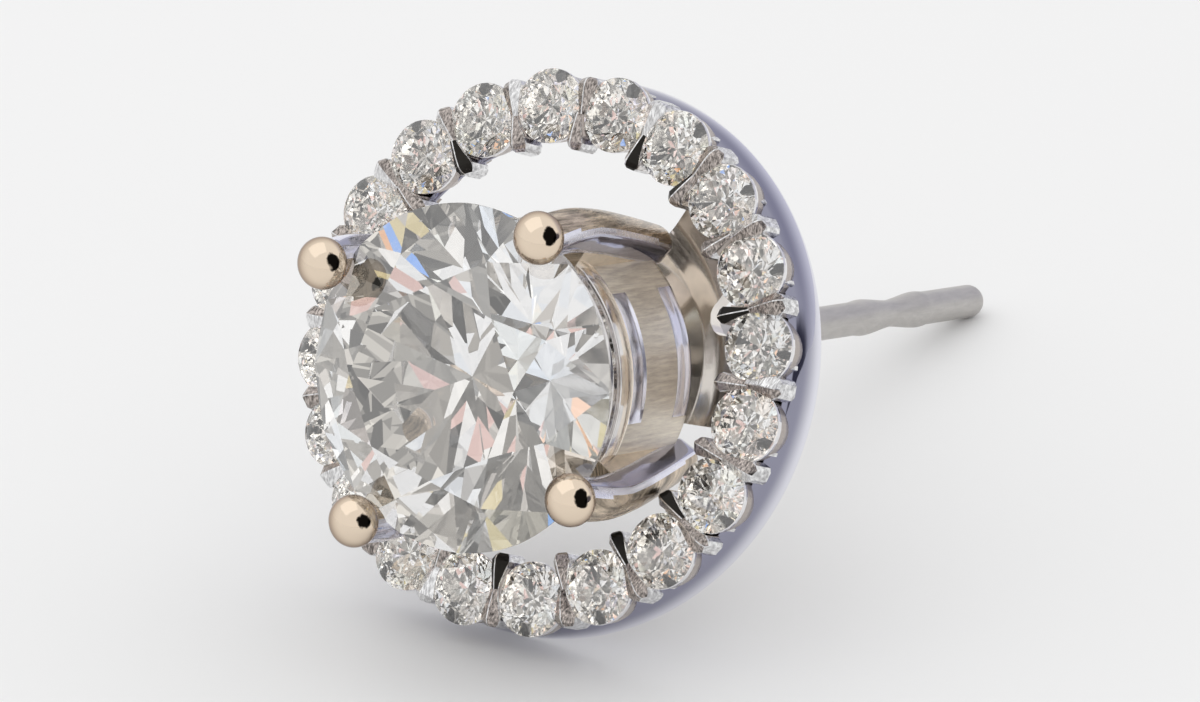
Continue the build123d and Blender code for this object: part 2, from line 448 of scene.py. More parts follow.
def metal(name, colour, low, high, scale=3.0, stretch=1.0, bump=0.0, grain=False, shade=0.0, edge_shade=None,
          dark_reflection_side=None, lip_shade_colour=None):
    """A polished or brushed metal.

    grain reads the piece's own grain map, in millimetres. shade is how far the marks darken and lighten
    the colour. The edge shade colour tints the edges as painted shade. The dark reflection side is the side
    that carries a small painted dark reflection. The lip shade colour is painted shade under the lip of a
    piece that has one.
    """
    if name in bpy.data.materials:
        return bpy.data.materials[name]
    material, tree, shader = new_material(name)
    shader.inputs["Metallic"].default_value = 1.0
    base = (*colour, 1)
    shader.inputs["Base Color"].default_value = base
    shown = base
    link = tree.links.new
    if grain:
        place = node(tree, "ShaderNodeUVMap", uv_map="Grain").outputs[0]
    else:
        spot = node(tree, "ShaderNodeTexCoord")
        size = node(tree, "ShaderNodeVectorMath", operation="SCALE")
        size.inputs["Scale"].default_value = 1 / MM
        link(spot.outputs["Object"], size.inputs[0])
        place = size.outputs[0]
    polish = node(tree, "ShaderNodeGroup", node_tree=polish_group(), in_Scale=scale, in_Stretch=stretch,
                  in_Low=low, in_High=high)
    link(place, polish.inputs["Coordinates"])
    link(polish.outputs["Roughness"], shader.inputs["Roughness"])
    if shade:
        dark = (*[c * (1 - shade) for c in colour], 1)
        light = (*[min(1, c * (1 + shade * 0.5)) for c in colour], 1)
        spread = node(tree, "ShaderNodeMapRange", in_From_Min=0.35, in_From_Max=0.65)
        link(polish.outputs["Marks"], spread.inputs["Value"])
        shown = mix_colours(tree, spread.outputs[0], dark, light)
    # Painted shade: the colour goes to the lip shade colour where the lip_shade attribute rises.
    if lip_shade_colour:
        depth = node(tree, "ShaderNodeAttribute", attribute_name="lip_shade")
        shown = mix_colours(tree, depth.outputs["Fac"], base, (*lip_shade_colour, 1))
    # Painted shade: where the surface turns away from the view, the colour goes to the edge tint.
    if edge_shade:
        facing = node(tree, "ShaderNodeLayerWeight")
        rim = node(tree, "ShaderNodeMapRange", interpolation_type="SMOOTHSTEP", in_From_Min=0.22,
                   in_From_Max=0.85)
        link(facing.outputs["Facing"], rim.inputs["Value"])
        shown = mix_colours(tree, rim.outputs[0], base, (*edge_shade, 1))
    # Painted reflection: a small dark spot with a ragged edge, where the normals face the given side.
    if dark_reflection_side:
        way = node(tree, "ShaderNodeNewGeometry")
        near = node(tree, "ShaderNodeVectorMath", operation="DOT_PRODUCT")
        near.inputs[1].default_value = dark_reflection_side
        link(way.outputs["Normal"], near.inputs[0])
        ragged = node(tree, "ShaderNodeTexNoise", in_Scale=5.0, in_Detail=3.0)
        link(place, ragged.inputs["Vector"])
        torn = node(tree, "ShaderNodeMath", operation="MULTIPLY_ADD")
        torn.inputs[1].default_value = 0.14
        link(ragged.outputs[0], torn.inputs[0])
        link(near.outputs["Value"], torn.inputs[2])
        reflection_spot = node(tree, "ShaderNodeMapRange", interpolation_type="SMOOTHSTEP", in_From_Min=1.012,
                     in_From_Max=1.036)
        link(torn.outputs[0], reflection_spot.inputs["Value"])
        shown = mix_colours(tree, reflection_spot.outputs[0], shown, DARK_REFLECTION_COLOUR)
    if shown is not base:
        link(shown, shader.inputs["Base Color"])
    if bump:
        rise = node(tree, "ShaderNodeBump", in_Strength=1.0, in_Distance=bump * MM)
        link(polish.outputs["Marks"], rise.inputs["Height"])
        link(rise.outputs[0], shader.inputs["Normal"])
    return material


# Reflections after this many stand in for light that the renderer would end early.
DEEP_REFLECTION = 3.5


def stone_material(name, stones, rough=0.0, flaws=0.0, grain=3.0, inner=(0.04, 0.18, 0.38)):
    """A clear stone. flaws tilts small patches of each facet, and inner is what deep reflections show."""
    if name in bpy.data.materials:
        return bpy.data.materials[name]
    material, tree, shader = new_material(name)
    shader.inputs["Transmission Weight"].default_value = 1.0
    shader.inputs["IOR"].default_value = stones.refraction
    shader.inputs["Roughness"].default_value = rough
    link = tree.links.new
    tint = node(tree, "ShaderNodeAttribute", attribute_name="facet_tint")
    link(tint.outputs["Color"], shader.inputs["Base Color"])
    paths = node(tree, "ShaderNodeLightPath")
    late = node(tree, "ShaderNodeMath", operation="GREATER_THAN")
    late.inputs[1].default_value = DEEP_REFLECTION
    link(paths.outputs["Glossy Depth"], late.inputs[0])
    facet = node(tree, "ShaderNodeNewGeometry")
    chance = node(tree, "ShaderNodeTexWhiteNoise")
    link(facet.outputs["True Normal"], chance.inputs["Vector"])
    glow = node(tree, "ShaderNodeValToRGB")
    glow.color_ramp.interpolation = "CONSTANT"
    glow.color_ramp.elements.new(0.5)
    for stop, at, shade in zip(glow.color_ramp.elements, (0.0, 0.36, 0.66), inner):
        stop.position, stop.color = at, (shade, shade * 0.95, shade * 0.86, 1)
    link(chance.outputs["Value"], glow.inputs[0])
    lost = mix_colours(tree, late.outputs[0], (0, 0, 0, 1), glow.outputs[0])
    link(lost, shader.inputs["Emission Color"])
    shader.inputs["Emission Strength"].default_value = 1.0
    if flaws:
        spot = node(tree, "ShaderNodeTexCoord")
        cells = node(tree, "ShaderNodeTexVoronoi", in_Scale=grain / MM)
        link(spot.outputs["Object"], cells.inputs["Vector"])
        centred = node(tree, "ShaderNodeVectorMath", operation="SUBTRACT")
        centred.inputs[1].default_value = (0.5, 0.5, 0.5)
        link(cells.outputs["Color"], centred.inputs[0])
        small = node(tree, "ShaderNodeVectorMath", operation="SCALE")
        small.inputs["Scale"].default_value = flaws
        link(centred.outputs[0], small.inputs[0])
        surface = node(tree, "ShaderNodeNewGeometry")
        tilted = node(tree, "ShaderNodeVectorMath", operation="ADD")
        link(surface.outputs["Normal"], tilted.inputs[0])
        link(small.outputs[0], tilted.inputs[1])
        unit = node(tree, "ShaderNodeVectorMath", operation="NORMALIZE")
        link(tilted.outputs[0], unit.inputs[0])
        link(unit.outputs[0], shader.inputs["Normal"])
    return material


# ---------------------------------------------------------------- stones

# Painted fire: tints that single facets can carry, standing in for the coloured flashes of dispersed light.
FIRE = ((1.0, 0.80, 0.62), (0.72, 0.84, 1.0), (0.93, 0.80, 0.88), (0.90, 0.92, 0.70), (0.80, 0.93, 0.95))


# Where the star facets and the lower halves meet the mains, as shares of the stone's radius.
STAR_SHARE = 0.759
LOWER_SHARE = 0.23
# How far the halo stones sit inside the middle of their circle, and their girdles below their tables, mm.
HALO_INSET = 0.065
HALO_GIRDLE = -0.12


def cut_stone(stones, radius, segments, turn, random_source, grey=0.0):
    """A round brilliant about Z with its girdle at z = 0, with a tint on each facet; some tints are painted
    fire.
    """
    g = stones.girdle_half * radius / stones.radius
    crown, pavilion = tan(stones.crown_angle), tan(stones.pavilion_angle)
    table_z = g + (1 - stones.table) * radius * crown
    star_r, low_r, half = STAR_SHARE * radius, LOWER_SHARE * radius, radians(22.5)
    star_z = g + (radius - star_r * cos(half)) * crown
    low_z = -g - (radius - low_r * cos(half)) * pavilion
    culet = Vector((0, 0, -g - radius * pavilion))
    bm = bmesh.new()
    lathe(bm, [(0, culet.z - 0.01), (radius, culet.z - 0.01), (radius, table_z + 0.01),
               (0, table_z + 0.01)],
          [turn + 2 * pi * k / segments for k in range(segments)])

    def cut(a, b, c):
        normal = (b - a).cross(c - a).normalized()
        if normal.dot(Vector((0, 0, -0.15 * radius)) - a) > 0:
            normal.negate()
        made = bmesh.ops.bisect_plane(bm, geom=[*bm.verts, *bm.edges, *bm.faces], dist=1e-5 * radius,
                                      plane_co=a, plane_no=normal, clear_outer=True)
        edges = [e for e in made["geom_cut"] if isinstance(e, bmesh.types.BMEdge) and e.is_boundary]
        if edges:
            bmesh.ops.edgeloop_fill(bm, edges=edges)

    top = Vector((0, 0, table_z))
    cut(top, top + Vector((1, 0, 0)), top + Vector((0, 1, 0)))
    for i in range(8):
        main = turn + i * pi / 4
        mid, after = main + half, main + pi / 4
        side = Vector((-sin(main), cos(main), 0))
        star, low = polar(star_r, mid, star_z), polar(low_r, mid, low_z)
        cut(polar(radius, main, g), polar(stones.table * radius, main, table_z),
            polar(radius, main, g) + side)
        cut(polar(stones.table * radius, main, table_z), polar(stones.table * radius, after, table_z), star)
        cut(polar(radius, main, -g), culet, polar(radius, main, -g) + side)
        for other in (main, after):
            cut(star, polar(radius, other, g), polar(radius, mid, g))
            cut(low, polar(radius, other, -g), polar(radius, mid, -g))
    layer = bm.loops.layers.float_color.new("facet_tint")
    for face in bm.faces:
        girdle = abs(face.normal.z) < 0.05
        shade = 1 - grey * random_source.random()
        colour = Vector((1, 1, 1))
        # Painted fire: some facets take a colour of dispersed light.
        if not girdle and face.normal.z < 0.99 and random_source.random() < 0.45 * stones.tint + 0.1:
            pick = Vector(random_source.choice(FIRE))
            colour = colour.lerp(pick, stones.tint)
        face.material_index = 1 if girdle else 0
        for corner in face.loops:
            corner[layer] = (*(colour * shade), 1)
    return bm


class EARRING_OT_centre_stone(bpy.types.Operator):
    """Cut the large round brilliant"""
    bl_idname = "earring.centre_stone"
    bl_label = "Centre stone"

    def execute(self, context):
        stones = context.scene.ear_stones
        bm = cut_stone(stones, stones.radius, 128, stones.turn, random.Random(stones.seed))
        looks = [stone_material("Clear stone", stones), stone_material("Stone girdle", stones, 0.25)]
        piece = finish_mesh("Centre_brilliant", bm, stud_matrix(), looks, "stud",
                            smooth=False)
        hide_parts("centre_stone")
        return {"FINISHED"}


class EARRING_OT_halo_stones(bpy.types.Operator):
    """Cut the small stones of the halo and set them round the ring"""
    bl_idname = "earring.halo_stones"
    bl_label = "Halo stones"

    def execute(self, context):
        stones, jacket = context.scene.ear_stones, context.scene.ear_jacket
        source = random.Random(stones.seed + 1)
        everything = bpy.data.meshes.new("Halo_brilliants")
        gathered = bmesh.new()
        for k in range(jacket.count):
            bm = cut_stone(stones, stones.halo_radius, 40, source.uniform(0, pi / 4), source, grey=0.12)
            a = jacket.first + 2 * pi * k / jacket.count
            lean = Matrix.Rotation(radians(source.uniform(-1.5, 1.5)), 4, "X")
            lean = lean @ Matrix.Rotation(radians(source.uniform(-1.5, 1.5)), 4, "Y")
            height = HALO_GIRDLE + source.uniform(-0.01, 0.01)
            bm.transform(Matrix.Translation(polar(jacket.ring_radius - HALO_INSET, a, height)) @ lean)
            bm.to_mesh(everything)
            bm.free()
            gathered.from_mesh(everything)
        bpy.data.meshes.remove(everything)
        clear = stone_material("Clear halo stone", stones, flaws=0.03, grain=4.0, inner=(0.03, 0.26, 0.85))
        looks = [clear, stone_material("Stone girdle", stones, 0.25)]
        finish_mesh("Halo_brilliants", gathered, jacket_matrix(jacket), looks, "jacket",
                    smooth=False)
        return {"FINISHED"}


# ---------------------------------------------------------------- stud setting

class EARRING_OT_basket(bpy.types.Operator):
    """Turn the round basket with its polished bevels and brushed band"""
    bl_idname = "earring.basket"
    bl_label = "Basket"

    def execute(self, context):
        s, f = context.scene.ear_setting, context.scene.ear_finish
        R, half, blend = s.wall_radius, s.window_half, radians(12.0)
        rail, band, satin, bevel = range(4)
        # Height and inset of the wall where the two polished bevels are cut between the prongs.
        drops = ((-1.36, 0.0), (-1.37, 0.100), (-1.42, 0.078), (-1.48, 0.058), (-1.55, 0.044),
                 (-1.63, 0.036), (-1.70, 0.034), (-1.75, 0.034), (-1.785, 0.0),
                 (-2.79, 0.0), (-2.80, 0.100), (-2.85, 0.078), (-2.91, 0.058), (-2.98, 0.044),
                 (-3.06, 0.038), (-3.13, 0.038), (-3.17, 0.006), (-3.26, 0.030))
        lip = soften([(2.40, -0.58), (R - 0.03, -0.63), (R + 0.01, -0.70), (R + 0.01, -0.84),
                      (R - 0.09, -0.87), (R - 0.09, -0.94), (R + 0.01, -0.96), (R, -1.10)], 0.02, 3)
        inside = soften([(R - 0.03, -3.28), (R - 0.05, s.back), (s.inner_radius, s.back),
                         (s.inner_radius, -0.82), (2.40, -0.58)], 0.022, 3)
        front, rear = drops[:9], drops[9:]
        outline = lip + [Vector((R - 0.01, -1.16)), Vector((R - 0.02, -1.26)), Vector((R, -1.36))]
        outline += [Vector((R, z)) for z, _ in front]
        outline += [Vector((R, -1.81)), Vector((R, -2.3)), Vector((R, -2.78))]
        outline += [Vector((R, z)) for z, _ in rear] + inside[:-1]
        middles = [s.first_prong - pi / 4 + k * pi / 2 for k in range(4)]

        def window(a):
            off = min(abs((a - m + pi) % (2 * pi) - pi) for m in middles)
            t = min(1, max(0, (half - off) / blend))
            return t * t * (3 - 2 * t)

        def radius_at(r, z, a):
            if r < R - 0.02:
                return r
            drop = next((d for level, d in drops if abs(level - z) < 1e-4), 0.0)
            return r - drop * window(a)

        def slot_at(r, z, a):
            if r < R - 0.3 or z > -1.05:
                return rail
            if window(a) > 0.10 and (-1.785 < z < -1.365 or z < -2.795):
                return bevel
            return satin if z > -1.38 else band

        # Degrees from the bevel's edge, where the azimuths come closer.
        near_edge = (-4.4, -3.6, -3.0, -2.4, -1.8, -1.3, -0.8, -0.4, 0, 0.4)
        azimuths = []
        for m in middles:
            azimuths += [m + radians(d) for d in range(-44, 46, 2) if not -1 < degrees(half) - abs(d) < 4.6]
            azimuths += [m + sign * (half + radians(d)) for sign in (-1, 1) for d in near_edge]
        azimuths = sorted(a % (2 * pi) for a in azimuths)
        bm = bmesh.new()
        grain = bm.loops.layers.uv.new("Grain")
        lathe(bm, outline, azimuths, closed=True, radius_at=radius_at, slot_at=slot_at, grain=grain)
        piece = finish_mesh("Basket", bm, stud_matrix(), [
            metal("Polished rail", f.steel, 0.05, 0.14, scale=4.0, bump=0.001, shade=0.15),
            metal("Brushed pale gold", f.brushed, 0.42, 0.58, scale=1.6, stretch=9.0, bump=0.012,
                  grain=True, shade=0.22),
            metal("Satin pale gold", f.brushed, 0.16, 0.30, scale=4.0, bump=0.004, shade=0.12),
            metal("Polished bevel", f.bevel, 0.16, 0.26, scale=5.0, stretch=4.0, bump=0.0008),
        ], "stud")
        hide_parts("stud_setting")
        return {"FINISHED"}


class EARRING_OT_prongs(bpy.types.Operator):
    """Form the four prongs with flat flanks and domed ball tips"""
    bl_idname = "earring.prongs"
    bl_label = "Prongs"

    def execute(self, context):
        s, f = context.scene.ear_setting, context.scene.ear_finish
        line = curve_through([(3.15, 0.52), (3.23, -0.35), (3.13, -1.25), (2.96, -2.10), (2.81, -2.80),
                              (2.60, s.prong_back)], 10)
        n = len(line) - 1
        dark_flat_slot, brushed_slot, ball_slot, web_slot, highlight_edge_slot = range(5)
        for index in range(4):
            spin = Matrix.Rotation(s.first_prong + index * pi / 2, 4, "Z")
            bm = bmesh.new()
            grain = bm.loops.layers.uv.new("Grain")
            rings = []
            for i, p in enumerate(line):
                t = i / n
                along = (line[min(n, i + 1)] - line[max(0, i - 1)]).normalized()
                out = Vector((-along.y, along.x))
                end = max(0, 1 - (1 - t) / 0.03)
                r = (0.375 + 0.02 * sin(pi * t) - 0.02 * t) * (1 - 0.25 * end * end)
                flat = 0.175 * min(1, t / 0.30) ** 0.8 * (1 - 0.25 * max(0, t - 0.6))
                reach = pi / 2 - asin(flat / r)
                section = []
                for side in (0, pi):
                    turns = [-reach + 0.05 + (2 * reach - 0.10) * k / 14 for k in range(15)]
                    section += [(r * cos(side + w), r * sin(side + w)) for w in turns]
                    sign = 1 if side == 0 else -1
                    inset = max(0.004, flat - 0.03)
                    section += [(sign * inset, sign * r * sin(reach)),
                                (-sign * inset, sign * r * sin(reach))]
                rings.append([Vector((p.x + out.x * u, v, p.y + out.y * u)) for u, v in section])
            tube(bm, rings)
            web = [(2.42, -0.74), (3.10, -0.74), (3.02, -1.40), (2.86, -2.40), (2.66, s.back + 0.03),
                   (2.42, s.back + 0.03)]
            web = soften(web, 0.05, 3, closed=True, support=False)
            tube(bm, [[Vector((x, y, z)) for x, z in web] for y in (-0.29, -0.27, 0.27, 0.29)])
            for face in bm.faces:
                face.normal_update()
                middle = face.calc_center_median()
                sideways, off = abs(face.normal.y), abs(middle.y)
                # The flanks take the darkened flank metal, a painted dark reflection.
                if sideways > 0.95 and off > 0.295:
                    face.material_index = dark_flat_slot
                elif sideways > 0.95 and off < 0.295:
                    face.material_index = web_slot
                # The small chamfers beside the flanks take a brighter metal, a painted highlight line.
                elif 0.30 < sideways <= 0.95 and off > 0.27 and face.calc_area() < 0.012:
                    face.material_index = highlight_edge_slot
                else:
                    face.material_index = brushed_slot
                for corner in face.loops:
                    corner[grain].uv = (corner.vert.co.y + corner.vert.co.x, corner.vert.co.z)
            squash = Matrix.Diagonal((s.ball_radius, s.ball_radius, s.ball_depth, 1))
            place = Matrix.Translation((line[0].x, 0, line[0].y)) @ squash
            tip = bmesh.ops.create_uvsphere(bm, u_segments=44, v_segments=30, radius=1.0, matrix=place)
            for face in {face for v in tip["verts"] for face in v.link_faces}:
                face.material_index = ball_slot
            finish_mesh("Prong_%d" % (index + 1), bm, stud_matrix() @ spin, [
                # Painted dark reflection on the flanks.
                metal("Polished flank with painted dark reflection", f.flank, 0.03, 0.08, scale=3.0, stretch=5.0, bump=0.0015),
                metal("Brushed prong gold", f.prong, 0.16, 0.34, scale=1.4, stretch=9.0, bump=0.014,
                      grain=True, shade=0.7),
                # The ball tips carry painted shade on their edges and a small painted dark reflection.
                metal("Ball tip gold with painted shading", f.gold, 0.05, 0.12, scale=9.0, bump=0.0015, edge_shade=(0.24, 0.15, 0.09),
                      dark_reflection_side=(0.725, -0.538, 0.430)),
                metal("Satin pale gold", f.brushed, 0.16, 0.30, scale=4.0, bump=0.004, shade=0.12),
                # Painted highlight on the chamfers beside the flanks.
                metal("Edge with painted highlight", f.bevel, 0.20, 0.35)], "stud",
                modifiers=[EVEN_NORMALS])
        return {"FINISHED"}


class EARRING_OT_post(bpy.types.Operator):
    """Turn the ear post with its notch, and the cross bars that hold it"""
    bl_idname = "earring.post"
    bl_label = "Post and bars"

    def execute(self, context):
        s, f = context.scene.ear_setting, context.scene.ear_finish
        r, tip, notch = s.post_radius, s.post_tip, s.notch
        profile = [Vector(p) for p in ((0, -2.95), (1.05, -2.95), (1.05, -3.17), (0.66, -3.35),
                                       (0.42, -3.36), (0.343, -3.40), (r, -3.95))]
        profile = soften(profile, 0.04, 3)
        waist = curve_through([(r, notch + 1.30), (0.335, notch + 0.92), (0.27, notch + 0.28),
                               (0.25, notch), (0.27, notch - 0.28), (0.335, notch - 0.92),
                               (r, notch - 1.30)], 6)
        profile += [Vector((r, z)) for z in (-6.0, -8.0, -10.0, -12.0)] + [Vector((w.x, w.y))
                for w in waist]
        profile += [Vector((r * cos(t), tip + r - r * sin(t)))
                    for t in [pi / 2 * k / 10 for k in range(11)]]
        profile[-1].x = 0
        bm = bmesh.new()
        grain = bm.loops.layers.uv.new("Grain")
        lathe(bm, profile, 48, grain=grain)
        matte = metal("Matte post gold", f.post, 0.34, 0.50, scale=2.0, stretch=5.0, bump=0.006, grain=True,
                      shade=0.10)
        finish_mesh("Ear_post", bm, stud_matrix(), [matte], "stud")
        for index in range(2):
            bm = bmesh.new()
            half = 0.35
            rows = [(-2.30, -2.72, -3.05), (-1.05, -2.95, -3.29), (1.05, -2.95, -3.29),
                    (2.30, -2.72, -3.05)]
            rings = []
            for x, top, low in rows:
                corners = ((half, top), (half, low), (-half, low), (-half, top))
                rings.append([Vector((x, y, z)) for y, z in corners])
            tube(bm, rings)
            place = stud_matrix() @ Matrix.Rotation(s.first_prong + index * pi / 2, 4, "Z")
            gold = metal("Bar gold", f.brushed, 0.30, 0.42, scale=4.0, bump=0.004, shade=0.12)
            finish_mesh("Cross_bar_%d" % (index + 1), bm, place, [gold], "stud",
                        modifiers=[rounded(0.04, 3, 30)])
        return {"FINISHED"}


# ---------------------------------------------------------------- halo jacket

# Painted reflections of the cuts in the bright-cut seats under the halo stones: the shade each cut glows
# with.
SEAT_GLOW_SHADES = ((0.01, 0.01, 0.01), (0.03, 0.03, 0.03), (0.20, 0.19, 0.18), (0.45, 0.42, 0.40), (0.70, 0.66, 0.63),
        (1.0, 0.97, 0.94), (0.62, 0.45, 0.40))


def seat_glow():
    """The bright-cut seat under a halo stone, with a painted reflection on each cut that glows in its
    shade.
    """
    material, tree, shader = new_material("Bright-cut seat with painted glow")
    shader.inputs["Metallic"].default_value = 1.0
    shader.inputs["Roughness"].default_value = 0.25
    tint = node(tree, "ShaderNodeAttribute", attribute_name="facet_tint")
    tree.links.new(tint.outputs["Color"], shader.inputs["Base Color"])
    # Painted light: the seat glows in its own shades, standing in for the reflections seen through the
    # stones.
    tree.links.new(tint.outputs["Color"], shader.inputs["Emission Color"])
    shader.inputs["Emission Strength"].default_value = 0.75
    return material


class EARRING_OT_halo_ring(bpy.types.Operator):
    """Turn the ring's polished wall and its scalloped cups"""
    bl_idname = "earring.halo_ring"
    bl_label = "Halo ring"

    def execute(self, context):
        j, f = context.scene.ear_jacket, context.scene.ear_finish
        W, back = j.wall_radius, j.wall_back
        shine = metal("Rhodium polish", f.rhodium, 0.03, 0.09)
        # Painted shade: the metal under and between the halo stones is darkened.
        dull_shaded = metal("Groove metal with painted shade", f.groove_shade, 0.22, 0.40, scale=6.0, bump=0.004)
        crown = curve_through([(W - 0.02, back + 0.03), (W + 0.015, back + 0.13), (W + 0.01, -1.08),
                               (W - 0.02, -0.92), (W - 0.06, -0.76), (W - 0.12, -0.60), (W - 0.20, -0.50)],
                              4)
        outline = [(W - 0.06, back)] + [tuple(p) for p in crown]
        # The trough that holds the stones, then the ring's inner lip.
        outline += [(W - 0.25, -0.50), (W - 0.27, -0.80), (3.94, -0.80), (3.90, -0.50)]
        outline += [(3.82, -0.48), (3.74, -0.52), (3.74, -0.62), (4.15, back)]
        outline = soften(outline, 0.03, 3, least=radians(20), closed=True)
        bm = bmesh.new()
        lathe(bm, outline, 200, closed=True)
        # Painted shade under the lip: 0 on the wall's lower part, rising to 1 towards the lip.
        depth = bm.verts.layers.float.new("lip_shade")
        for v in bm.verts:
            t = min(1, max(0, (v.co.z + 1.22) / 0.45))
            v[depth] = t * t * (3 - 2 * t)
        polish = metal("Wall rhodium with painted lip shade", f.wall, 0.03, 0.08, scale=2.0, lip_shade_colour=f.lip)
        piece = finish_mesh("Halo_wall", bm, jacket_matrix(j), [polish], "jacket")
        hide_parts("halo_jacket")

        cup = soften([(0.30, -0.86), (0.50, -0.80), (0.60, -0.50), (0.64, -0.26), (0.665, -0.16),
                      (0.655, -0.115)], 0.015, 2)
        cup += [Vector(p) for p in ((0.632, -0.155), (0.54, -0.245), (0.44, -0.335), (0.33, -0.435),
                                    (0.21, -0.545), (0.10, -0.645), (0, -0.73))]
        bm = bmesh.new()
        tint = bm.loops.layers.float_color.new("facet_tint")
        source = random.Random(5)
        for k in range(j.count):
            first, first_face = len(bm.verts), len(bm.faces)
            lathe(bm, cup, 32)
            bm.verts.ensure_lookup_table()
            bm.faces.ensure_lookup_table()
            for face in bm.faces[first_face:]:
                middle = face.calc_center_median()
                off = middle.xy.length
                # The cup's lower part takes the darkened groove metal, painted shade under the stone.
                face.material_index = 1 if middle.z < -0.24 else 0
                # The cup's inner side, which is the seat that shows through the stone, with painted,
                # glowing reflections.
                if off < 0.63 and middle.z > -0.78 + 0.95 * off:
                    shade = source.choice(SEAT_GLOW_SHADES)
                    face.material_index = 2
                    for corner in face.loops:
                        corner[tint] = (*shade, 1)
            place = Matrix.Rotation(j.first + 2 * pi * k / j.count, 4, "Z")
            place = place @ Matrix.Translation((j.ring_radius - HALO_INSET, 0, 0))
            bmesh.ops.transform(bm, matrix=place, verts=bm.verts[first:])
        finish_mesh("Halo_cups", bm, jacket_matrix(j), [shine, dull_shaded, seat_glow()], "jacket",
                    smooth=False)

        bm = bmesh.new()
        for k in range(j.count):
            a = j.first + 2 * pi * (k + 0.5) / j.count
            spin = Matrix.Rotation(a, 4, "Z")
            rings = []
            for x, w, top in ((3.80, 0.18, -0.08), (4.00, 0.11, -0.06), (4.22, 0.08, -0.05),
                              (4.45, 0.11, -0.06), (4.70, 0.19, -0.08)):
                section = ((w, -0.84), (-w, -0.84), (-w * 0.8, top - 0.04), (-w * 0.4, top), (w * 0.4, top),
                           (w * 0.8, top - 0.04))
                rings.append([spin @ Vector((x, y, z)) for y, z in section])
            tube(bm, rings)
        # The bridges between the stones take the darkened groove metal, painted shade.
        finish_mesh("Halo_bridges", bm, jacket_matrix(j), [dull_shaded], "jacket", smooth=False)
        return {"FINISHED"}


# A shared prong from its tip outwards: place along it, width, height and fall of its sides.
BEAD_RINGS = ((0.0, 0.34, 0.0, 0.05), (0.22, 0.46, 0.03, 0.07), (0.55, 0.78, 0.07, 0.11),
              (0.80, 1.0, 0.08, 0.15), (0.93, 0.80, 0.04, 0.15), (1.0, 0.45, -0.05, 0.11))


class EARRING_OT_halo_beads(bpy.types.Operator):
    """Form the leaf-shaped prongs that neighbouring halo stones share"""
    bl_idname = "earring.halo_beads"
    bl_label = "Halo beads"

    def execute(self, context):
        j, f = context.scene.ear_jacket, context.scene.ear_finish
        source = random.Random(11)
        for side, name in ((1, "Outer_beads"), (-1, "Inner_beads")):
            bm = bmesh.new()
            for k in range(j.count):
                a = j.first + 2 * pi * (k + 0.5) / j.count
                spin = Matrix.Rotation(a + source.uniform(-0.01, 0.01), 4, "Z")
                tip, edge = (4.17, 4.83) if side > 0 else (4.19, 3.54)
                widest = (0.205 if side > 0 else 0.17) * source.uniform(0.92, 1.08)
                ridge = source.uniform(-0.05, 0.05)
                rings = []
                for t, w, top, fall in BEAD_RINGS:
                    x, w, r = tip + (edge - tip) * t, widest * w, ridge * t
                    low, rim = top - fall, min(0.022, widest * w * 0.3)
                    points = [(-w, -0.62), (-w, low - 0.02), (-w + rim, low + 0.015), (r - 0.010, top),
                              (r + 0.010, top), (w - rim, low + 0.015), (w, low - 0.02), (w, -0.62)]
                    rings.append([spin @ Vector((x, y, z)) for y, z in points])
                first = len(bm.faces)
                tube(bm, rings)
                bm.faces.ensure_lookup_table()
                # Painted shade and dark glints: at random, the roof slopes of a bead take the darkened
                # facet metal and, on the inner beads, also the near-black glint colour.
                choices = (0, 1, 1, 1) if side > 0 else (1, 1, 2)
                dark = {2: source.choice(choices), 4: source.choice(choices)}
                for q, face in enumerate(bm.faces[first:]):
                    face.material_index = dark.get(q % 8, 0) if q < 40 else 0
                if side < 0:
                    continue
                # At the middle of each stone's outer edge: a small wedge painted near-black as a dark
                # glint, and a bright nub beside it.
                for off, w, top, out, slot in ((-0.026, 0.070, -0.13, 4.81, 2),
                                               (-0.068, 0.050, -0.10, 4.82, 0)):
                    first = len(bm.faces)
                    a = j.first + 2 * pi * k / j.count + off + source.uniform(-0.008, 0.008)
                    spin = Matrix.Rotation(a, 4, "Z")
                    rings = []
                    for x, narrow, high in ((4.60, 0.6, -0.05), (4.74, 1.0, 0.0),
                                            (out - 0.03, 0.95, -0.02), (out, 0.7, -0.10)):
                        peak = top + high
                        section = ((-1, -0.6), (-1, peak - 0.05), (-0.3, peak), (0.5, peak - 0.01),
                                   (1, peak - 0.06), (1, -0.6))
                        rings.append([spin @ Vector((x, y * w * narrow, z)) for y, z in section])
                    tube(bm, rings)
                    bm.faces.ensure_lookup_table()
                    for face in bm.faces[first:]:
                        face.material_index = slot
            finish_mesh(name, bm, jacket_matrix(j), [
                metal("Bead rhodium", f.rhodium, 0.08, 0.20, scale=9.0, stretch=4.0, bump=0.006, shade=0.5),
                metal("Cut facets with painted shade", f.groove_shade, 0.10, 0.25, scale=14.0, stretch=3.0, bump=0.006, shade=0.9),
                metal("Painted dark glints", f.dark_glint, 0.35, 0.55, scale=14.0)], "jacket", smooth=False)
        return {"FINISHED"}


# Azimuths of the arms in degrees, how far they reach, and the rounding between them, mm.
ARM_TURNS = (49.0, 5.0, 215.0, 185.0)
ARM_REACH = 4.24
ARM_FILLET = 0.30


